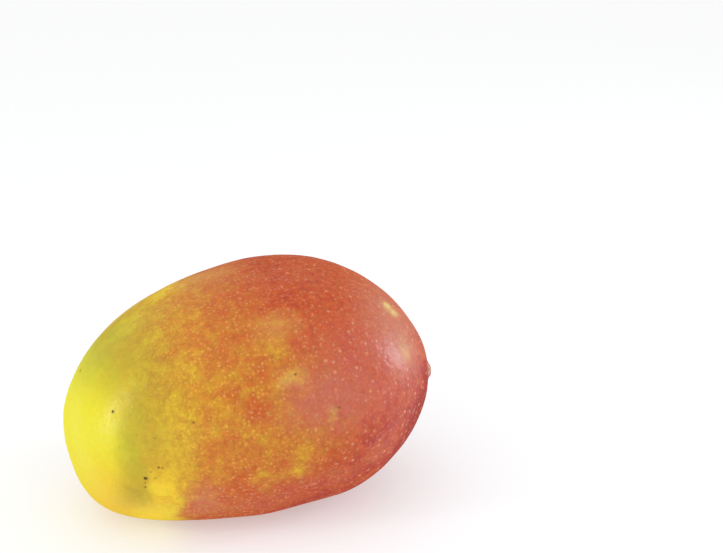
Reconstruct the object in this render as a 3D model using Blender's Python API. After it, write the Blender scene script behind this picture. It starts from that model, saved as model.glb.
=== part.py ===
"""A ripe mango lying on one cheek, as one closed solid.

Metres, +Z up. The stem end points along +X and the beak side along -Y. The origin is on the small
flat spot that the fruit rests on, straight below its centre of mass.
"""

import math

import bmesh
import bpy
from mathutils import Matrix, Vector

# The plain body, before its local forms and before it is tilted and set down
LENGTH = 0.128  # stem end to apex
BREADTH = 0.097  # back to beak side, which lies level
THICKNESS = 0.087  # cheek to cheek, which stands up
STEM_END_POWER = 2.0  # 2 is an ellipse, and more is blunter
APEX_CHEEK_POWER = 2.5  # the apex end seen from the beak side
APEX_BACK_POWER = 2.15  # the apex end seen from above
STEM_HALF_FULLNESS = 0.12  # how much fatter the stem half is than the middle
BACK_ARCH = 0.004  # how far the middle stands out towards the back
CHEEK_ARCH = 0.002  # how far the middle stands up towards the upper cheek
AXIS_SWAY = 0.004  # the long axis sways down in the stem half and up in the apex half

# Local forms: direction from the middle, radius that it fades over, and height outwards
STUB_DIRECTION = (0.965, -0.225, -0.125)
LOCAL_FORMS = {
    "stem knoll": (STUB_DIRECTION, 0.017, 0.0011),
    "beak": ((-0.70, -0.51, 0.50), 0.006, 0.0005),
    "sinus below the beak": ((-0.45, -0.86, -0.10), 0.018, -0.0007),
    "lower bulge of the beak side": ((-0.07, -0.72, -0.69), 0.011, 0.0010),
    "waist of the beak side": ((0.10, -0.73, -0.67), 0.012, -0.0009),
    "flat below the stub": ((0.69, -0.48, -0.54), 0.015, -0.0006),
    "flat above the stub": ((0.76, -0.10, 0.64), 0.014, -0.0008),
    "shoulder of the back": ((0.60, 0.79, 0.05), 0.030, 0.0025),
    "hollow of the back": ((-0.62, 0.78, 0.10), 0.028, -0.0018),
    "flat of the upper cheek": ((-0.05, 0.28, 0.95), 0.022, -0.0006),
}

# The woody stub that the stalk leaves behind
STUB_RADIUS = 0.0017
STUB_SHOULDER = 0.0011  # width of the slope round its flat top
STUB_HEIGHT = 0.0011  # above the stem knoll

# How the fruit lies
STEM_END_LIFT = math.radians(12.5)
SAG_DEPTH = 0.005  # how far the underside is pressed in
SAG_SOFTNESS = 0.0025  # how gently the pressed underside turns up into the sides
SPOT_DEPTH = 0.0002  # the last layer, taken off level to leave one plane spot

# The mesh: segments round the stub, rings from the stub to the apex end
SEGMENTS = 72
RINGS = 62
RING_CROWDING = 1.5  # above 1 the rings crowd towards the stub
CUT_TOLERANCE = 1e-6
SHARP_ANGLE = math.radians(50.0)

SKIN_COLOUR = (0.62, 0.13, 0.03, 1.0)
SKIN_ROUGHNESS = 0.38


def clear_scene():
    """Empty the file, so that the part is all that it holds."""
    for item in list(bpy.data.objects):
        bpy.data.objects.remove(item, do_unlink=True)


def body_point(direction):
    """The point of the plain body that lies in a unit direction from the middle."""
    along = direction.x
    across = math.sqrt(max(1.0 - along * along, 1e-9))
    stem_share = 0.5 * (1.0 + along)
    cheek_power = APEX_CHEEK_POWER + (STEM_END_POWER - APEX_CHEEK_POWER) * stem_share
    back_power = APEX_BACK_POWER + (STEM_END_POWER - APEX_BACK_POWER) * stem_share
    x = math.copysign(abs(along) ** (2.0 / cheek_power), along)
    fullness = 1.0 + STEM_HALF_FULLNESS * x
    y = fullness * across ** (2.0 / back_power) * direction.y / across
    z = fullness * across ** (2.0 / cheek_power) * direction.z / across
    arch = 0.5 - x * x
    sway = x ** 3 - x
    return Vector((
        0.5 * LENGTH * x,
        0.5 * BREADTH * y + BACK_ARCH * arch,
        0.5 * THICKNESS * z + CHEEK_ARCH * arch + AXIS_SWAY * sway,
    ))


def new_body_mesh():
    """A ball of rings round the stub, drawn out to the plain body."""
    mesh = bmesh.new()
    turn = Vector((0.0, 0.0, 1.0)).rotation_difference(Vector(STUB_DIRECTION)).to_matrix()
    bmesh.ops.create_uvsphere(mesh, u_segments=SEGMENTS, v_segments=RINGS, radius=1.0)
    for vertex in mesh.verts:
        polar = math.acos(max(-1.0, min(1.0, vertex.co.z))) / math.pi
        angle = math.pi * polar ** RING_CROWDING
        heading = math.atan2(vertex.co.y, vertex.co.x)
        ring = math.sin(angle)
        place = Vector((ring * math.cos(heading), ring * math.sin(heading), math.cos(angle)))
        vertex.co = body_point(turn @ place)
    return mesh


def raise_local_forms(mesh):
    """Swell and dent the body along its own normals, and raise the stub on its knoll."""
    mesh.normal_update()
    centres = {name: body_point(Vector(form[0]).normalized()) for name, form in LOCAL_FORMS.items()}
    lifts = []
    for vertex in mesh.verts:
        lift = 0.0
        for name, (_, radius, height) in LOCAL_FORMS.items():
            distance = (vertex.co - centres[name]).length
            lift += height * math.exp(-((distance / radius) ** 2))
        from_stub = (vertex.co - centres["stem knoll"]).length
        fall = max(0.0, min(1.0, (from_stub - STUB_RADIUS) / STUB_SHOULDER))
        lift += STUB_HEIGHT * (1.0 - fall * fall * (3.0 - 2.0 * fall))
        lifts.append(vertex.normal * lift)
    for vertex, lift in zip(mesh.verts, lifts):
        vertex.co += lift


def lay_down(mesh):
    """Tilt the stem end up, and press the underside into a soft, nearly level curve."""
    bmesh.ops.rotate(mesh, verts=mesh.verts, matrix=Matrix.Rotation(-STEM_END_LIFT, 3, "Y"))
    press = min(vertex.co.z for vertex in mesh.verts) + SAG_DEPTH
    for vertex in mesh.verts:
        height = (vertex.co.z - press) / SAG_SOFTNESS
        vertex.co.z = press + SAG_SOFTNESS * math.log1p(math.exp(height))


def cut_rest_spot(mesh):
    """Take the lowest layer off level, and close the cut with one plane face at z = 0."""
    level = min(vertex.co.z for vertex in mesh.verts) + SPOT_DEPTH
    everything = list(mesh.verts) + list(mesh.edges) + list(mesh.faces)
    cut = bmesh.ops.bisect_plane(
        mesh, geom=everything, dist=CUT_TOLERANCE, plane_co=(0.0, 0.0, level), plane_no=(0.0, 0.0, 1.0),
        clear_inner=True,
    )
    rim = [item for item in cut["geom_cut"] if isinstance(item, bmesh.types.BMEdge)]
    bmesh.ops.holes_fill(mesh, edges=rim, sides=0)
    bmesh.ops.translate(mesh, verts=mesh.verts, vec=(0.0, 0.0, -level))


def centre_on_weight(mesh):
    """Move the fruit sideways so that its centre of mass is straight above the origin."""
    volume = 0.0
    moment = Vector()
    for corner_a, corner_b, corner_c in mesh.calc_loop_triangles():
        a, b, c = corner_a.vert.co, corner_b.vert.co, corner_c.vert.co
        wedge = a.dot(b.cross(c)) / 6.0
        volume += wedge
        moment += wedge * (a + b + c) / 4.0
    middle = moment / volume
    bmesh.ops.translate(mesh, verts=mesh.verts, vec=(-middle.x, -middle.y, 0.0))


def skin_material():
    """Waxy skin, in the mean of its reds and yellows."""
    material = bpy.data.materials.new("mango_skin")
    material.use_nodes = True
    shader = material.node_tree.nodes["Principled BSDF"]
    shader.inputs["Base Color"].default_value = SKIN_COLOUR
    shader.inputs["Roughness"].default_value = SKIN_ROUGHNESS
    shader.inputs["Metallic"].default_value = 0.0
    return material


def build_mango():
    """The whole fruit as one object."""
    body = new_body_mesh()
    raise_local_forms(body)
    lay_down(body)
    cut_rest_spot(body)
    centre_on_weight(body)
    bmesh.ops.recalc_face_normals(body, faces=body.faces)
    data = bpy.data.meshes.new("mango")
    body.to_mesh(data)
    body.free()
    data.shade_smooth()
    data.set_sharp_from_angle(angle=SHARP_ANGLE)
    data.materials.append(skin_material())
    bpy.context.scene.collection.objects.link(bpy.data.objects.new("mango", data))


clear_scene()
build_mango()
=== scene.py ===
"""A ripe mango, dressed: its skin, its stalk stub, and the pale studio that it lies in."""

import math

import bmesh
import bpy
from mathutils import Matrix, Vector


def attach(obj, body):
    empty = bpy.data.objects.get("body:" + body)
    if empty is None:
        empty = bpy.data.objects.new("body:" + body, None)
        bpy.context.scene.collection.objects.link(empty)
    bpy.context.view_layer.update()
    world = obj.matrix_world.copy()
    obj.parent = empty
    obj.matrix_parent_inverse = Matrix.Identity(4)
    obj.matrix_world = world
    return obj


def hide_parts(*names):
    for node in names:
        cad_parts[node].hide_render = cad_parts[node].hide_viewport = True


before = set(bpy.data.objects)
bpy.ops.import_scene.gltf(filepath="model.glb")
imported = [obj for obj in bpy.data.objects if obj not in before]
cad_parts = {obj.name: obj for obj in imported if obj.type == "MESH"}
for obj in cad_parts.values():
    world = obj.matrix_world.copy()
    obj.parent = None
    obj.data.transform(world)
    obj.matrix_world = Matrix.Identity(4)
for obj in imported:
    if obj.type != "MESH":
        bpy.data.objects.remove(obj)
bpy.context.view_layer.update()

# ---------------------------------------------------------------------------------------------
# Skin. The mango's own tough, waxy skin, grown in one piece round the flesh. It starts as the
# solid's surface, merged and smoothed, and then gets the low swells and dimples of real skin.
# ---------------------------------------------------------------------------------------------

MERGE_DISTANCE = 1e-6
SKIN_SUBDIVISIONS = 2
KNOLL_TOP = Vector((0.0596, -0.0182, 0.0445))  # where the stalk was, at the stem end
KNOLL_FADE = (0.0050, 0.0030)  # distances from it between which the rounding of the knoll sets in
KNOLL_SMOOTHING = 6
GROUND_FADE = (0.0004, 0.0060)  # heights between which the relief sets in above the rest spot
RELIEF_MIDDLE = 0.55  # the noise that moves nothing: above the mean, so the skin keeps inside the solid
SKIN_RELIEF = {
    # name: size of the noise, height
    "skin_swells": (0.0160, 0.00050),
    "skin_dimples": (0.0050, 0.00010),
}


def select_only(piece):
    """Make a piece the only selected one, and the active one."""
    bpy.ops.object.select_all(action="DESELECT")
    piece.select_set(True)
    bpy.context.view_layer.objects.active = piece


def copy_of_node(node, name):
    """A new object with its own merged and quad-faced copy of a node's mesh."""
    piece = bpy.data.objects.new(name, node.data.copy())
    bpy.context.scene.collection.objects.link(piece)
    piece.data.materials.clear()
    select_only(piece)
    bpy.ops.mesh.customdata_custom_splitnormals_clear()
    bpy.ops.object.mode_set(mode="EDIT")
    bpy.ops.mesh.select_all(action="SELECT")
    bpy.ops.mesh.remove_doubles(threshold=MERGE_DISTANCE)
    bpy.ops.mesh.tris_convert_to_quads()
    bpy.ops.object.mode_set(mode="OBJECT")
    bpy.ops.object.shade_smooth()
    return piece


def fade(value, low, high):
    """0 at low and 1 at high, with a smooth step between; low may be the greater."""
    share = min(1.0, max(0.0, (value - low) / (high - low)))
    return share * share * (3.0 - 2.0 * share)


def weight_by(piece, name, weight_of):
    """A vertex group whose weights come from each vertex's place."""
    group = piece.vertex_groups.new(name=name)
    for vertex in piece.data.vertices:
        group.add([vertex.index], weight_of(vertex.co), "REPLACE")
    return group.name


def apply_modifier(piece, kind, **settings):
    """Add a modifier, set it, and apply it."""
    modifier = piece.modifiers.new(kind.lower(), kind)
    for name, value in settings.items():
        setattr(modifier, name, value)
    select_only(piece)
    bpy.ops.object.modifier_apply(modifier=modifier.name)


def relief_texture(name, size):
    """A smooth cloud noise for low relief."""
    texture = bpy.data.textures.new(name, "CLOUDS")
    texture.noise_scale = size
    texture.noise_depth = 1
    return texture


skin = copy_of_node(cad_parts["mango"], "mango_skin")
on_knoll = weight_by(skin, "on_knoll", lambda place: fade((place - KNOLL_TOP).length, *KNOLL_FADE))
apply_modifier(skin, "SMOOTH", factor=0.5, iterations=KNOLL_SMOOTHING, vertex_group=on_knoll)
apply_modifier(
    skin, "SUBSURF", levels=SKIN_SUBDIVISIONS, render_levels=SKIN_SUBDIVISIONS, boundary_smooth="ALL"
)
off_ground = weight_by(skin, "off_ground", lambda place: fade(place.z, *GROUND_FADE))
for relief_name, (relief_size, relief_height) in SKIN_RELIEF.items():
    apply_modifier(
        skin, "DISPLACE", texture=relief_texture(relief_name, relief_size), texture_coords="LOCAL",
        strength=relief_height, mid_level=RELIEF_MIDDLE, vertex_group=off_ground,
    )


class Field:
    """A shader socket. Arithmetic on it adds Math nodes, and make adds any other node."""

    def __init__(self, socket):
        self.socket = socket

    def make(self, kind, settings, inputs, output=0):
        """Add a node, set it, feed its sockets with values or fields, and return one output."""
        tree = self.socket.id_data
        node = tree.nodes.new("ShaderNode" + kind)
        for name, value in settings.items():
            if name == "stops":
                elements = node.color_ramp.elements
                while len(elements) < len(value):
                    elements.new(0.5)
                for element, (position, colour) in zip(elements, value):
                    element.position = position
                    element.color = (*colour, 1.0)
            else:
                setattr(node, name, value)
        for name, value in inputs.items():
            if isinstance(value, Field):
                tree.links.new(value.socket, node.inputs[name])
            else:
                node.inputs[name].default_value = value
        return Field(node.outputs[output])

    def maths(self, operation, first, second):
        """One Math node on two numbers or fields."""
        return self.make("Math", {"operation": operation}, {0: first, 1: second})

    def __add__(self, other):
        return self.maths("ADD", self, other)

    __radd__ = __add__

    def __sub__(self, other):
        return self.maths("SUBTRACT", self, other)

    def __rsub__(self, other):
        return self.maths("SUBTRACT", other, self)

    def __mul__(self, other):
        return self.maths("MULTIPLY", self, other)

    __rmul__ = __mul__

    def __truediv__(self, other):
        return self.maths("DIVIDE", self, other)

    def at_least(self, other):
        """This, or the other where that is greater."""
        return self.maths("MAXIMUM", self, other)

    def step(self, low, high):
        """0 at low and 1 at high, with a smooth step between; low may be the greater."""
        return self.make(
            "MapRange", {"interpolation_type": "SMOOTHSTEP"},
            {"Value": self, "From Min": low, "From Max": high, "To Min": 0.0, "To Max": 1.0},
        )

    def vector(self, operation, other=None, output=0):
        """Vector arithmetic on this field, with another one or with a constant."""
        inputs = {0: self} if other is None else {0: self, 1: other}
        return self.make("VectorMath", {"operation": operation}, inputs, output)

    def length(self):
        """The length of this vector."""
        return self.vector("LENGTH", output="Value")

    def times(self, factor):
        """This vector or colour, scaled by a factor."""
        return self.make("VectorMath", {"operation": "SCALE"}, {0: self, "Scale": factor})

    def part(self, axis):
        """The X, Y or Z of this vector."""
        return self.make("SeparateXYZ", {}, {"Vector": self}, axis)

    def ramp(self, stops):
        """The colour that this value has on a ramp of (place, colour) stops."""
        return self.make("ValToRGB", {"stops": stops}, {"Fac": self})

    def mixed(self, other, share):
        """This colour, giving way to another one by a share."""
        # The colours of a Mix node are its inputs 6 and 7 and its output 2
        return self.make(
            "Mix", {"data_type": "RGBA", "clamp_factor": True}, {0: share, 6: self, 7: other}, output=2
        )

    def clouds(self, size, detail=3.0, roughness=0.5, output="Fac"):
        """Noise at this place, with its largest clouds about size across."""
        inputs = {"Vector": self, "Scale": 1.0 / size, "Detail": detail, "Roughness": roughness}
        return self.make("TexNoise", {}, inputs, output)

    def warped(self, size, reach):
        """This place, pushed about by noise with clouds of one size, by up to reach."""
        push = self.clouds(size, output="Color").vector("SUBTRACT", (0.5, 0.5, 0.5)).times(2.0 * reach)
        return self.vector("ADD", push)

    def near(self, centre, radii, core):
        """1 in the core of a soft ellipsoid, and 0 outside it; core is a share of the radii."""
        reach = self.vector("SUBTRACT", centre).vector("DIVIDE", radii).length()
        return reach.step(1.0, core)

    def dots(self, spacing, randomness):
        """Dots strewn about spacing apart: the distance to the nearest, and its random colour."""
        inputs = {"Vector": self, "Scale": 1.0 / spacing, "Randomness": randomness}
        distance = self.make("TexVoronoi", {}, inputs, "Distance") * spacing
        return distance, self.make("TexVoronoi", {}, inputs, "Color")


def new_material(name):
    """A material, its Principled shader node, and the object's coordinates as a field."""
    material = bpy.data.materials.new(name)
    material.use_nodes = True
    nodes = material.node_tree.nodes
    place = Field(nodes.new("ShaderNodeTexCoord").outputs["Object"])
    return material, nodes["Principled BSDF"], place


def connect(field, shader, name):
    """Feed a field into one of a shader's own sockets."""
    field.socket.id_data.links.new(field.socket, shader.inputs[name])


MILLIMETRES = 1000.0  # from here on, the pattern of the skin is written in millimetres
skin_material, skin_shader, metres = new_material("waxy_mango_skin")
place = metres.times(MILLIMETRES)

# Blush: the share of red pigment, which rises from the lemon apex to the crimson stem end
BLUSH_DRIFT = (9.0, 2.5)  # size and reach of the noise that bends its edges
APEX_END = -66.0
STEM_END = 62.0
BLUSH_ALONG = {
    # height at which each row of stops holds: place along the fruit, share of red pigment
    8.0: [
        (APEX_END, 0.04), (-58, 0.18), (-50, 0.20), (-37, 0.09), (-31, 0.46), (-25, 0.66), (12, 0.85),
        (STEM_END, 0.95),
    ],
    22.0: [
        (APEX_END, 0.02), (-58, 0.15), (-50, 0.22), (-36, 0.23), (-33, 0.37), (-28, 0.54), (-18, 0.64),
        (12, 0.79), (STEM_END, 0.95),
    ],
    38.0: [
        (APEX_END, 0.00), (-54, 0.04), (-45, 0.22), (-30, 0.27), (-22, 0.46), (6, 0.56), (26, 0.78),
        (STEM_END, 0.93),
    ],
    56.0: [
        (APEX_END, 0.00), (-56, 0.05), (-46, 0.20), (-36, 0.32), (-20, 0.50), (2, 0.54), (18, 0.70),
        (STEM_END, 0.86),
    ],
    78.0: [
        (APEX_END, 0.06), (-54, 0.15), (-42, 0.27), (-28, 0.42), (-16, 0.56), (6, 0.82), (22, 0.80),
        (STEM_END, 0.74),
    ],
}

drifted = place.warped(*BLUSH_DRIFT)
along = drifted.part("X")
height = drifted.part("Z")
from_apex = (along - APEX_END) / (STEM_END - APEX_END)
blush_rows = None
row_below = None
for row_height, stops in BLUSH_ALONG.items():
    row = from_apex.ramp([((x - APEX_END) / (STEM_END - APEX_END), (red, red, red)) for x, red in stops])
    blush_rows = row if row_below is None else blush_rows.mixed(row, height.step(row_below, row_height))
    row_below = row_height

# Mottling: broad patches and small flecks of more and of less red, calmer on the upper stem half
PATCH_DRIFT = (6.0, 1.0)
PATCH_SIZE = 9.0
PATCH_EDGE = (0.38, 0.62)  # noise values between which a patch ends
PATCH_GAIN = 0.11
FLECK_SIZE = 2.6
FLECK_GAIN = 0.36
MOTTLING_ROUGHNESS = 0.60
MOTTLED_ALONG = (-58.0, -28.0)  # places along the fruit between which it sets in
CALM_ALONG = (-8.0, 12.0)  # places along the fruit, and heights, between which it calms down
CALM_UP = (46.0, 74.0)
CALM_LOSS = 0.08  # what a patch loses where it is calm

patch_noise = place.warped(*PATCH_DRIFT).clouds(PATCH_SIZE, detail=5.0, roughness=MOTTLING_ROUGHNESS)
patches = patch_noise.step(*PATCH_EDGE) - 0.5
flecks = place.clouds(FLECK_SIZE, detail=3.0, roughness=MOTTLING_ROUGHNESS) - 0.5
calm = along.step(*CALM_ALONG) * height.step(*CALM_UP)
mottling = patches * (PATCH_GAIN - CALM_LOSS * calm) + flecks * FLECK_GAIN
blush = blush_rows.part("X") + mottling * along.step(*MOTTLED_ALONG)

# Single patches of less red, made of flecks, and of more red
YELLOW_PATCHES = {
    # name: centre, radii, loss of red pigment
    "speck patch of the middle": ((4.5, -43.0, 60.0), (6.5, 5.0, 4.0), 0.18),
    "speck patch of the stem half": ((14.5, -46.0, 46.0), (4.5, 5.0, 4.5), 0.34),
    "patch of the lower middle": ((4.5, -46.0, 33.0), (6.5, 7.0, 9.0), 0.24),
    "foot of the lower patch": ((2.5, -45.0, 26.5), (11.0, 8.0, 6.0), 0.27),
    "arc of the upper middle": ((2.0, -30.0, 73.0), (13.0, 10.0, 7.5), 0.24),
    "fall of the arc": ((-1.0, -37.0, 68.0), (8.0, 8.0, 7.0), 0.14),
    "patch below the middle": ((-9.0, -44.0, 26.0), (7.0, 6.0, 7.0), 0.22),
    "patch of the apex half": ((-39.0, -37.0, 23.0), (7.0, 8.0, 5.0), 0.12),
    "shade of the apex half": ((-36.0, -39.0, 49.0), (10.0, 9.0, 9.0), 0.07),
    "far side of the upper cheek": ((-29.0, 10.0, 80.0), (21.0, 18.0, 12.0), 0.30),
    "far edge of the apex half": ((-49.0, 0.0, 74.0), (16.0, 20.0, 13.0), 0.38),
}
RED_PATCHES = {
    # name: centre, radii, gain of red pigment
    "blotch of the upper cheek": ((-20.0, -28.0, 76.0), (9.0, 9.0, 6.0), 0.20),
    "blotch of the middle": ((-17.0, -40.0, 55.0), (6.0, 6.0, 5.0), 0.17),
    "edge of the yellow": ((-27.5, -42.0, 37.0), (6.5, 7.0, 18.0), 0.16),
    "flush of the lower middle": ((-14.0, -45.0, 38.0), (9.0, 7.0, 6.0), 0.10),
    "blotch of the lower edge": ((-30.0, -33.0, 15.0), (6.0, 9.0, 6.0), 0.12),
    "flush of the apex half": ((-37.0, -28.0, 69.0), (13.0, 13.0, 11.0), 0.10),
    "amber shade of the apex half": ((-31.0, -40.0, 47.0), (8.0, 8.0, 12.0), 0.03),
    "flush above the beak": ((-58.0, -20.0, 58.0), (9.0, 11.0, 9.0), 0.08),
    "flush at the foot of the yellow": ((-32.0, -33.0, 13.0), (5.0, 9.0, 8.0), 0.10),
    "flush of the middle": ((-11.0, -44.0, 49.0), (9.0, 9.0, 7.0), 0.12),
    "crimson of the lower stem half": ((30.0, -44.0, 36.0), (18.0, 14.0, 9.0), 0.08),
    "crimson of the upper stem half": ((27.0, -36.0, 62.0), (17.0, 16.0, 13.0), 0.07),
    # Painted shade: deeper crimson low on the stem end and below the stub, where that side lies in shade
    "painted shade below the stub": ((54.0, -28.0, 29.0), (24.0, 26.0, 28.0), 0.12),
    "painted shade of the stem end": ((60.0, -2.0, 16.0), (34.0, 60.0, 46.0), 0.11),
}
SINGLE_DRIFT = (5.0, 3.5)
SINGLE_CORE = 0.1  # share of a patch that has its full strength
BREAK_SIZE = 2.8
BREAK_LEAST = 0.3  # what is left of a patch between its flecks
BREAK_GAIN = 1.4
BLUSH_COLOURS = [
    # share of red pigment, colour
    (0.00, (0.735, 0.655, 0.022)),  # lemon
    (0.20, (0.790, 0.505, 0.022)),  # golden
    (0.36, (0.640, 0.317, 0.022)),  # amber
    (0.52, (0.585, 0.190, 0.022)),  # orange
    (0.66, (0.560, 0.120, 0.018)),  # red orange
    (0.80, (0.540, 0.082, 0.016)),  # coral red
    (0.92, (0.440, 0.036, 0.014)),  # crimson
    (1.00, (0.350, 0.022, 0.012)),  # deep crimson
]

scattered = place.warped(*SINGLE_DRIFT)
broken = BREAK_LEAST + BREAK_GAIN * place.clouds(BREAK_SIZE, detail=3.0)
for centre, radii, loss in YELLOW_PATCHES.values():
    blush = blush - scattered.near(centre, radii, SINGLE_CORE) * broken * loss
for centre, radii, gain in RED_PATCHES.values():
    blush = blush + scattered.near(centre, radii, SINGLE_CORE) * gain
colour = blush.ramp(BLUSH_COLOURS)

# Green left in the yellow, but not at the lemon tip, whose edge leans over above the beak
GREEN_TINT = (0.64, 0.71, 1.0)
LOW_GREEN_ALONG = (-40.0, -47.0)
LOW_GREEN_UP = (8.0, 22.0)
HIGH_GREEN_ALONG = (-24.0, -48.0)
HIGH_GREEN_UP = (18.0, 42.0)
LIT_LEMON_TIP_ALONG = (-49.7, -56.4)
LIT_LEMON_TIP_UP = (62.0, 44.0)
LEAN_HEIGHT = 42.0  # where the edge of the tip starts to lean
LEAN = 0.45
GREEN_STRENGTH = 0.95
GREEN_CLOUDS = 5.0
GREEN_CLOUDINESS = 0.9
GREEN_BACK = (32.0, 4.0)  # places across the fruit between which it fades at the back
GREEN_BACK_SHARE = 0.35  # what is left of it there

low_green = along.step(*LOW_GREEN_ALONG) * height.step(*LOW_GREEN_UP)
high_green = along.step(*HIGH_GREEN_ALONG) * height.step(*HIGH_GREEN_UP)
lean = LEAN * (height - LEAN_HEIGHT).at_least(0.0)
# Painted light, in part: the tip is kept bright and free of green where the apex softbox lights it
lit_lemon_tip = (along - lean).step(*LIT_LEMON_TIP_ALONG) * height.step(*LIT_LEMON_TIP_UP)
green = low_green.at_least(high_green) * (1.0 - lit_lemon_tip)
green = green * (GREEN_STRENGTH + GREEN_CLOUDINESS * (drifted.clouds(GREEN_CLOUDS, detail=4.0) - 0.5))
green = green * (GREEN_BACK_SHARE + (1.0 - GREEN_BACK_SHARE) * drifted.part("Y").step(*GREEN_BACK))
colour = colour.mixed(colour.vector("MULTIPLY", GREEN_TINT), green)

# Lenticels: pale pores, close and yellow in the middle, wide and pink at the stem end
LENTICELS = {
    # name: spacing, radius, strength at the golden part, the middle and the stem end
    "large": (2.6, 0.86, (0.00, 0.25, 0.86)),
    "small": (1.35, 0.68, (0.05, 0.61, 0.30)),
}
LENTICEL_DRIFT = (1.0, 0.35)
LENTICEL_RANDOMNESS = 0.9
LENTICEL_CORE = 0.25  # share of a pore that has its full strength
LENTICEL_LEAST = 0.15  # strength of the faintest pore beside the strongest
GOLDEN_TO_MIDDLE = (-50.0, -26.0)
MIDDLE_TO_STEM_END = (-4.0, 22.0)
LENTICEL_TOP = (58.0, 80.0)  # heights between which they grow a little fainter
LENTICEL_TOP_LOSS = 0.2
LENTICEL_BLUSH = (0.2, 0.8)  # shares of red pigment that the colours of the pores span
LENTICEL_COLOURS = [(0.0, (0.84, 0.60, 0.04)), (0.5, (0.86, 0.42, 0.05)), (1.0, (0.80, 0.37, 0.20))]

lenticel_colour = blush.step(*LENTICEL_BLUSH).ramp(LENTICEL_COLOURS)
ragged = place.warped(*LENTICEL_DRIFT)
top_fade = 1.0 - LENTICEL_TOP_LOSS * height.step(*LENTICEL_TOP)
pores = []
for spacing, radius, (golden_strength, middle_strength, stem_strength) in LENTICELS.values():
    distance, chance = ragged.dots(spacing, LENTICEL_RANDOMNESS)
    strength = golden_strength + (middle_strength - golden_strength) * along.step(*GOLDEN_TO_MIDDLE)
    strength = strength + (stem_strength - middle_strength) * along.step(*MIDDLE_TO_STEM_END)
    faintness = LENTICEL_LEAST + (1.0 - LENTICEL_LEAST) * chance.part("X")
    pore = distance.step(radius, LENTICEL_CORE * radius) * faintness
    colour = colour.mixed(lenticel_colour, pore * strength * top_fade)
    pores.append(pore)

# Grain: the skin is a little lighter and darker from cell to cell, least at the smooth apex
GRAIN = {
    # name: size, weight
    "fine": (0.9, 1.0),
    "coarse": (2.2, 0.7),
}
GRAIN_GAIN = 0.52
STEM_GRAIN_GAIN = 0.10  # what the stem half adds to it
STEM_GRAIN_ALONG = (0.0, 24.0)
APEX_GRAIN_SHARE = 0.2
APEX_GRAIN_ALONG = (-54.0, -26.0)

grain = sum(weight * (place.clouds(size, detail=2.0) - 0.5) for size, weight in GRAIN.values())
grain = grain * (APEX_GRAIN_SHARE + (1.0 - APEX_GRAIN_SHARE) * along.step(*APEX_GRAIN_ALONG))
colour = colour.times(1.0 + (GRAIN_GAIN + STEM_GRAIN_GAIN * along.step(*STEM_GRAIN_ALONG)) * grain)

# Scuffs: dry, straw-coloured skin where the shoulder of the stem end was rubbed
SCUFFS = {
    # name: centre, radii, strength
    "upper streak": ((44.8, -16.2, 69.4), (4.6, 3.2, 1.7), 0.90),
    "lower streak": ((46.8, -18.0, 67.2), (4.6, 3.2, 1.7), 0.80),
    "haze of the streaks": ((45.6, -17.1, 68.5), (8.0, 6.0, 5.0), 0.30),
    "round scuff": ((46.4, -30.8, 57.4), (3.6, 4.2, 5.0), 0.30),
    "haze of the round scuff": ((46.6, -29.5, 59.0), (8.0, 8.0, 9.0), 0.16),
}
SCUFF_COLOUR = (0.78, 0.53, 0.13, 1.0)
SCUFF_DRIFT = (2.0, 0.9)
SCUFF_CORE = 0.2

torn = place.warped(*SCUFF_DRIFT)
for centre, radii, strength in SCUFFS.values():
    colour = colour.mixed(SCUFF_COLOUR, torn.near(centre, radii, SCUFF_CORE) * broken * strength)

# Tints: where the skin is pinker, brighter or paler than its pigment alone makes it, partly painted light
PINK = (0.60, 0.17, 0.15, 1.0)
BRIGHT_GOLD = (0.95, 0.68, 0.03, 1.0)
PEACH = (0.72, 0.36, 0.12, 1.0)
TINTED_PATCHES = {
    # name: centre, radii, strength, colour
    # Painted reflection, in part: the pink patches lay a pale veil over the red, as reflected light would
    "middle of the stem half": ((12.0, -44.0, 50.0), (22.0, 14.0, 16.0), 0.40, PINK),
    "whole stem half": ((30.0, -38.0, 54.0), (36.0, 30.0, 30.0), 0.38, PINK),
    "lower edge": ((-26.0, -36.0, 20.0), (9.0, 12.0, 14.0), 0.34, PINK),
    "underside of the stem half": ((34.0, -34.0, 30.0), (18.0, 16.0, 13.0), 0.20, PINK),
    # Painted light, in part: the bright gold low at the foot stands in for light bounced up from the floor
    "foot of the apex half, lit from the floor": ((-42.0, -30.0, 6.0), (11.5, 18.0, 12.5), 0.75, BRIGHT_GOLD),
    "patch of the apex half": ((-39.0, -37.0, 24.0), (8.0, 9.0, 7.0), 0.38, BRIGHT_GOLD),
    "speck patch of the middle": ((3.0, -43.0, 59.0), (9.5, 6.5, 5.5), 0.30, PEACH),
    "arc of the upper middle": ((2.0, -31.0, 72.5), (13.0, 10.0, 8.0), 0.22, PEACH),
    # Painted reflection: the peach at the far rim is the pale sheen that the skin reflects at a glancing
    # angle
    "painted rim sheen of the upper cheek": ((-17.0, 8.0, 81.0), (24.0, 16.0, 10.0), 0.42, PEACH),
}

for centre, radii, strength, tint in TINTED_PATCHES.values():
    colour = colour.mixed(tint, scattered.near(centre, radii, SINGLE_CORE) * broken * strength)

# Bloom: dusty wax, partly painted sheen, round the shoulder of the stem end. The stub's knoll is dry and
# pinkish.
BLOOM_AND_SHEEN_COLOUR = (0.66, 0.46, 0.38, 1.0)
BLOOM_AND_SHEEN_CENTRE = (46.0, -20.0, 65.0)
BLOOM_AND_SHEEN_RADII = (25.0, 31.0, 24.0)
BLOOM_AND_SHEEN_CORE = 0.2
BLOOM_AND_SHEEN_LEAST = 0.07
BLOOM_AND_SHEEN_GAIN = 0.25
BLOOM_AND_SHEEN_CLOUDS = 4.0
KNOLL_COLOUR = (0.74, 0.34, 0.27, 1.0)
KNOLL_RADII = (3.6, 3.6, 3.6)
KNOLL_CORE = 0.4
KNOLL_STRENGTH = 0.5

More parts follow.
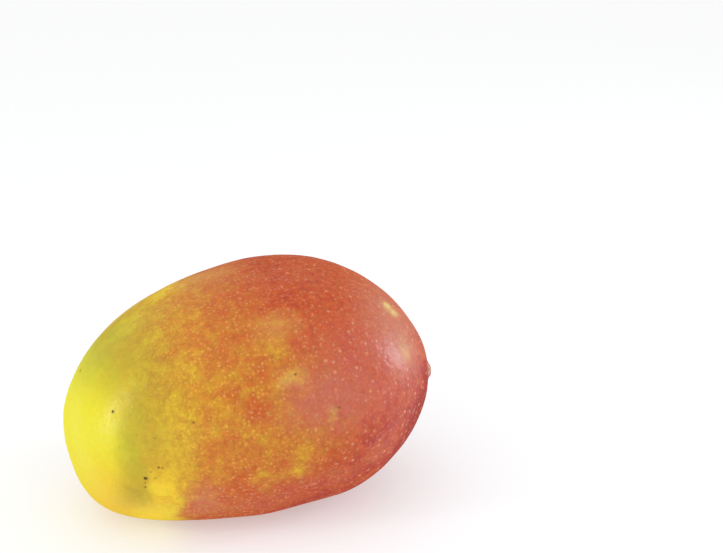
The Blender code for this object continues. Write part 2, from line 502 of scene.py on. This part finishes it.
bloom_and_sheen_clouds = BLOOM_AND_SHEEN_LEAST + BLOOM_AND_SHEEN_GAIN * place.clouds(BLOOM_AND_SHEEN_CLOUDS, detail=4.0)
# Painted sheen, in part: the pale bloom lies round the highlight of the stem softbox and stands in for part
# of its haze
bloom_and_sheen = place.near(BLOOM_AND_SHEEN_CENTRE, BLOOM_AND_SHEEN_RADII, BLOOM_AND_SHEEN_CORE) * bloom_and_sheen_clouds
colour = colour.mixed(BLOOM_AND_SHEEN_COLOUR, bloom_and_sheen)
knoll = torn.near(KNOLL_TOP * MILLIMETRES, KNOLL_RADII, KNOLL_CORE)
colour = colour.mixed(KNOLL_COLOUR, KNOLL_STRENGTH * knoll * broken)

# Specks: dead pores, dark brown, each with a faint halo, and fine ones strewn over the yellow
SPECKS = {
    # name: centre, radius, darkness
    "dot of the beak": ((-53.1, -26.4, 47.9), 0.62, 1.00),
    "largest speck": ((-45.0, -35.8, 26.9), 0.66, 1.00),
    "upper tail of the largest speck": ((-45.0, -35.4, 25.2), 0.34, 0.60),
    "lower tail of the largest speck": ((-45.0, -34.9, 23.4), 0.38, 0.70),
    "first speck of the cluster": ((-43.2, -36.8, 29.6), 0.36, 0.60),
    "second speck of the cluster": ((-42.2, -37.4, 27.2), 0.40, 0.55),
    "third speck of the cluster": ((-40.9, -38.1, 31.4), 0.44, 0.75),
    "fourth speck of the cluster": ((-39.8, -38.6, 31.2), 0.36, 0.60),
    "speck of the middle": ((4.3, -42.6, 59.9), 0.48, 0.60),
    "speck of the stem half": ((17.8, -47.1, 48.2), 0.48, 0.60),
    "small speck": ((-29.5, -40.9, 46.9), 0.42, 0.60),
    "speck of the apex end": ((-59.0, -0.5, 52.6), 0.50, 0.70),
    "first speck of the band": ((-47.6, -32.4, 43.4), 0.36, 0.45),
    "second speck of the band": ((-43.8, -35.2, 41.6), 0.42, 0.50),
    "third speck of the band": ((-41.4, -37.0, 41.4), 0.36, 0.40),
}
SPECK_COLOUR = (0.095, 0.045, 0.004, 1.0)
SPECK_CORE = 0.6
HALO_COLOUR = (0.30, 0.18, 0.02, 1.0)
HALO_WIDTH = 2.2  # in radii of its speck
HALO_CORE = 0.2
HALO_STRENGTH = 0.42
STREWN_SPACING = 2.8
STREWN_EDGE = (0.36, 0.16)  # distances from its middle between which a strewn speck sets in
STREWN_CHANCE = (0.45, 0.9)  # nearly half of them fall below this, and do not show
STREWN_ALONG = (-20.0, -34.0)
STREWN_STRENGTH = 0.45

speck = sum(
    ragged.near(centre, (radius,) * 3, SPECK_CORE) * darkness for centre, radius, darkness in SPECKS.values()
)
halo = sum(
    ragged.near(centre, (HALO_WIDTH * radius,) * 3, HALO_CORE) for centre, radius, _ in SPECKS.values()
)
distance, chance = place.dots(STREWN_SPACING, randomness=1.0)
strewn = distance.step(*STREWN_EDGE) * chance.part("Y").step(*STREWN_CHANCE) * along.step(*STREWN_ALONG)
colour = colour.mixed(HALO_COLOUR, halo * HALO_STRENGTH + strewn * STREWN_STRENGTH)
colour = colour.mixed(SPECK_COLOUR, speck)

# Finish: a satin wax, duller on specks, under the bloom and at a glancing angle, with fine pits
SATIN_ROUGHNESS = 0.30
ROUGHNESS_CLOUDS = 4.0
ROUGHNESS_CLOUDINESS = 0.22
SPECK_DULLNESS = 0.5
EDGE_DULLNESS = 0.65
EDGE_FACING = (0.40, 0.90)
BLOOM_DULLNESS = 0.3
SKIN_SPECULAR = 0.20
WAX_WEIGHT = 0.05
WAX_ROUGHNESS = 0.20
PIT_SIZE = 2.4
PORE_DEPTH = 0.3  # how deep the pores lie beside the pits
PIT_STRENGTH = 0.7
PIT_DEPTH = 0.0003  # in metres

dull_edge = place.make("LayerWeight", {}, {"Blend": 0.5}, "Facing").step(*EDGE_FACING)
roughness = SATIN_ROUGHNESS + ROUGHNESS_CLOUDINESS * (place.clouds(ROUGHNESS_CLOUDS) - 0.5)
roughness = roughness + SPECK_DULLNESS * speck + EDGE_DULLNESS * dull_edge + BLOOM_DULLNESS * bloom_and_sheen
pits = place.clouds(PIT_SIZE, detail=1.0) - PORE_DEPTH * sum(pores)
bump = pits.make("Bump", {}, {"Strength": PIT_STRENGTH, "Distance": PIT_DEPTH, "Height": pits})
connect(colour, skin_shader, "Base Color")
connect(roughness, skin_shader, "Roughness")
connect(bump, skin_shader, "Normal")
skin_shader.inputs["Specular IOR Level"].default_value = SKIN_SPECULAR
skin_shader.inputs["Coat Weight"].default_value = WAX_WEIGHT
skin_shader.inputs["Coat Roughness"].default_value = WAX_ROUGHNESS
skin.data.materials.append(skin_material)
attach(skin, "root")
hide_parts("mango")

# ---------------------------------------------------------------------------------------------
# Stalk stub. The woody end that the stalk leaves when the fruit is picked: a low, ragged disc with
# a dry rim and a darker core, grown into the knoll of the stem end.
# ---------------------------------------------------------------------------------------------

STUB_AXIS = Vector((0.807, -0.558, 0.192)).normalized()
STUB_RADIUS = 0.0013
STUB_DEPTH = 0.0030  # most of it sunk in the skin
STUB_PROUD = 0.00012
STUB_SIDES = 20
FACING_OUT = 0.9  # least cosine between the stub's axis and a face of its end
RIM_WIDTH = 0.00030
CORE_WIDTH = 0.00065
CORE_DROP = 0.00012
CORE_RISE = 0.8  # share of the drop by which the middle of the core rises again
STUB_BEVEL = 0.00015
STUB_SUBDIVISIONS = 2
RAGGED_SIZE = 0.0009
RAGGED_HEIGHT = 0.00015

bpy.ops.object.select_all(action="DESELECT")
bpy.ops.mesh.primitive_cylinder_add(
    vertices=STUB_SIDES, radius=STUB_RADIUS, depth=STUB_DEPTH,
    location=KNOLL_TOP + (STUB_PROUD - 0.5 * STUB_DEPTH) * STUB_AXIS,
    rotation=STUB_AXIS.to_track_quat("Z", "Y").to_euler(),
)
stub = bpy.context.object
stub.name = "stalk_stub"
bpy.ops.object.transform_apply(location=True, rotation=True, scale=True)
bpy.ops.object.mode_set(mode="EDIT")
bpy.ops.mesh.select_all(action="DESELECT")
bpy.ops.mesh.select_mode(type="FACE")
for face in bmesh.from_edit_mesh(stub.data).faces:
    face.select = face.normal.dot(STUB_AXIS) > FACING_OUT
bpy.ops.mesh.inset(thickness=RIM_WIDTH)
bpy.ops.mesh.extrude_region_move(TRANSFORM_OT_translate={"value": -CORE_DROP * STUB_AXIS})
bpy.ops.mesh.inset(thickness=CORE_WIDTH)
bpy.ops.transform.translate(value=CORE_RISE * CORE_DROP * STUB_AXIS)
bpy.ops.object.mode_set(mode="OBJECT")
apply_modifier(stub, "BEVEL", width=STUB_BEVEL, segments=2, limit_method="ANGLE")
apply_modifier(stub, "SUBSURF", levels=STUB_SUBDIVISIONS, render_levels=STUB_SUBDIVISIONS)
apply_modifier(
    stub, "DISPLACE", texture=relief_texture("stub_raggedness", RAGGED_SIZE), texture_coords="LOCAL",
    strength=RAGGED_HEIGHT, mid_level=0.5,
)
bpy.ops.object.shade_smooth()

WOOD_SPAN = (0.3, 1.4)  # distances from the middle of the core, in mm, that its colours span
WOOD_COLOURS = [(0.0, (0.22, 0.11, 0.055)), (0.5, (0.50, 0.30, 0.18)), (1.0, (0.70, 0.42, 0.29))]
FIBRE_SIZE = 0.35
WOOD_SHADE = 0.6  # brightness between the fibres
FIBRE_SHADE = 0.8  # brightness that a fibre adds
WOOD_ROUGHNESS = 0.65
FIBRE_ROUGHNESS = 0.3
FIBRE_STRENGTH = 0.5
FIBRE_HEIGHT = 0.0001  # in metres

stub_material, stub_shader, stub_metres = new_material("dry_stalk_wood")
stub_place = stub_metres.times(MILLIMETRES)
from_core = stub_place.vector("SUBTRACT", KNOLL_TOP * MILLIMETRES).length()
wood = from_core.step(*WOOD_SPAN).ramp(WOOD_COLOURS)
fibres = stub_place.clouds(FIBRE_SIZE, detail=3.0)
stub_bump = fibres.make("Bump", {}, {"Strength": FIBRE_STRENGTH, "Distance": FIBRE_HEIGHT, "Height": fibres})
connect(wood.times(WOOD_SHADE + FIBRE_SHADE * fibres), stub_shader, "Base Color")
connect(WOOD_ROUGHNESS + FIBRE_ROUGHNESS * fibres, stub_shader, "Roughness")
connect(stub_bump, stub_shader, "Normal")
stub.data.materials.append(stub_material)
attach(stub, "root")

# ---------------------------------------------------------------------------------------------
# Studio. A wide pale floor, and a white surround that is brighter in front and overhead. A low
# white fill stands in front, a tall cool softbox at the apex end and a small one past the stem end.
# ---------------------------------------------------------------------------------------------

WHITE = (1.0, 1.0, 1.0)
DAYLIGHT = (0.74, 0.88, 1.0)
LIGHTS = {
    # name: azimuth from the camera and elevation in degrees, distance, width, height, brightness, colour
    "front_fill": (-10.0, 2.0, 0.90, 1.10, 0.32, 0.5, WHITE),
    "apex_softbox": (-64.0, 15.0, 0.80, 0.12, 0.48, 11.6, DAYLIGHT),
    "stem_softbox": (105.0, 13.5, 0.60, 0.12, 0.22, 15.0, DAYLIGHT),
}
SURROUND_BEHIND = 0.52  # its brightness behind the fruit
SURROUND_FRONT = 0.725
SURROUND_FRONT_SPAN = (-1.0, 0.6)
SURROUND_OVERHEAD = 0.44  # what it gains towards the zenith
SURROUND_OVERHEAD_SPAN = (0.3, 1.0)

FLOOR_HALF_WIDTH = 6.0
FLOOR_COLOUR = (0.62, 0.62, 0.62, 1.0)
FLOOR_ROUGHNESS = 0.9
FLOOR_GLOW = 0.40

VIEW_AZIMUTH = math.radians(-18.2)  # the camera stands a little towards the apex end
VIEW_ELEVATION = math.radians(20.0)
VIEW_DISTANCE = 0.597
LENS_MM = 85.0
SENSOR_MM = 36.0
FRUIT_MIDDLE = Vector((0.0, 0.0, 0.040))
AIM_RIGHT = 0.0388  # the camera aims past the fruit, to its right and above it
AIM_UP = 0.0371

bpy.ops.object.select_all(action="DESELECT")
bpy.ops.mesh.primitive_plane_add(size=2.0 * FLOOR_HALF_WIDTH)
floor = bpy.context.object
floor.name = "studio_floor"
floor_material, floor_shader, _ = new_material("pale_floor")
floor_shader.inputs["Base Color"].default_value = FLOOR_COLOUR
floor_shader.inputs["Roughness"].default_value = FLOOR_ROUGHNESS
floor_shader.inputs["Specular IOR Level"].default_value = 0.0
floor_shader.inputs["Emission Color"].default_value = (*WHITE, 1.0)
floor_shader.inputs["Emission Strength"].default_value = FLOOR_GLOW
floor.data.materials.append(floor_material)


def direction(azimuth, elevation):
    """The unit vector towards an azimuth, 0 at -Y and a quarter turn at +X, and an elevation."""
    return Vector((
        math.sin(azimuth) * math.cos(elevation),
        -math.cos(azimuth) * math.cos(elevation),
        math.sin(elevation),
    ))


surround = bpy.data.worlds.new("white_surround")
surround.use_nodes = True
background = surround.node_tree.nodes["Background"]
background.inputs["Color"].default_value = (*WHITE, 1.0)
outwards = Field(surround.node_tree.nodes.new("ShaderNodeTexCoord").outputs["Generated"])
frontness = outwards.vector("DOT_PRODUCT", direction(VIEW_AZIMUTH, 0.0), output="Value")
connect(
    SURROUND_BEHIND
    + (SURROUND_FRONT - SURROUND_BEHIND) * frontness.step(*SURROUND_FRONT_SPAN)
    + SURROUND_OVERHEAD * outwards.part("Z").step(*SURROUND_OVERHEAD_SPAN),
    background, "Strength",
)
bpy.context.scene.world = surround

for light_name, (azimuth, elevation, distance, width, tallness, brightness, tone) in LIGHTS.items():
    light_data = bpy.data.lights.new(light_name, "AREA")
    light_data.shape = "RECTANGLE"
    light_data.size = width
    light_data.size_y = tallness
    light_data.energy = brightness * math.pi * width * tallness
    light_data.color = tone
    light = bpy.data.objects.new(light_name, light_data)
    towards = direction(VIEW_AZIMUTH + math.radians(azimuth), math.radians(elevation))
    light.location = FRUIT_MIDDLE + distance * towards
    light.rotation_mode = "QUATERNION"
    light.rotation_quaternion = towards.to_track_quat("Z", "Y")
    bpy.context.scene.collection.objects.link(light)

view_back = direction(VIEW_AZIMUTH, VIEW_ELEVATION)
view_turn = view_back.to_track_quat("Z", "Y")
view_right = view_turn @ Vector((1.0, 0.0, 0.0))
view_up = view_turn @ Vector((0.0, 1.0, 0.0))
camera_data = bpy.data.cameras.new("camera")
camera_data.lens = LENS_MM
camera_data.sensor_width = SENSOR_MM
camera = bpy.data.objects.new("camera", camera_data)
camera.location = FRUIT_MIDDLE + AIM_RIGHT * view_right + AIM_UP * view_up + VIEW_DISTANCE * view_back
camera.rotation_mode = "QUATERNION"
camera.rotation_quaternion = view_turn
bpy.context.scene.collection.objects.link(camera)
bpy.context.scene.camera = camera
bpy.context.scene.view_settings.view_transform = "Standard"
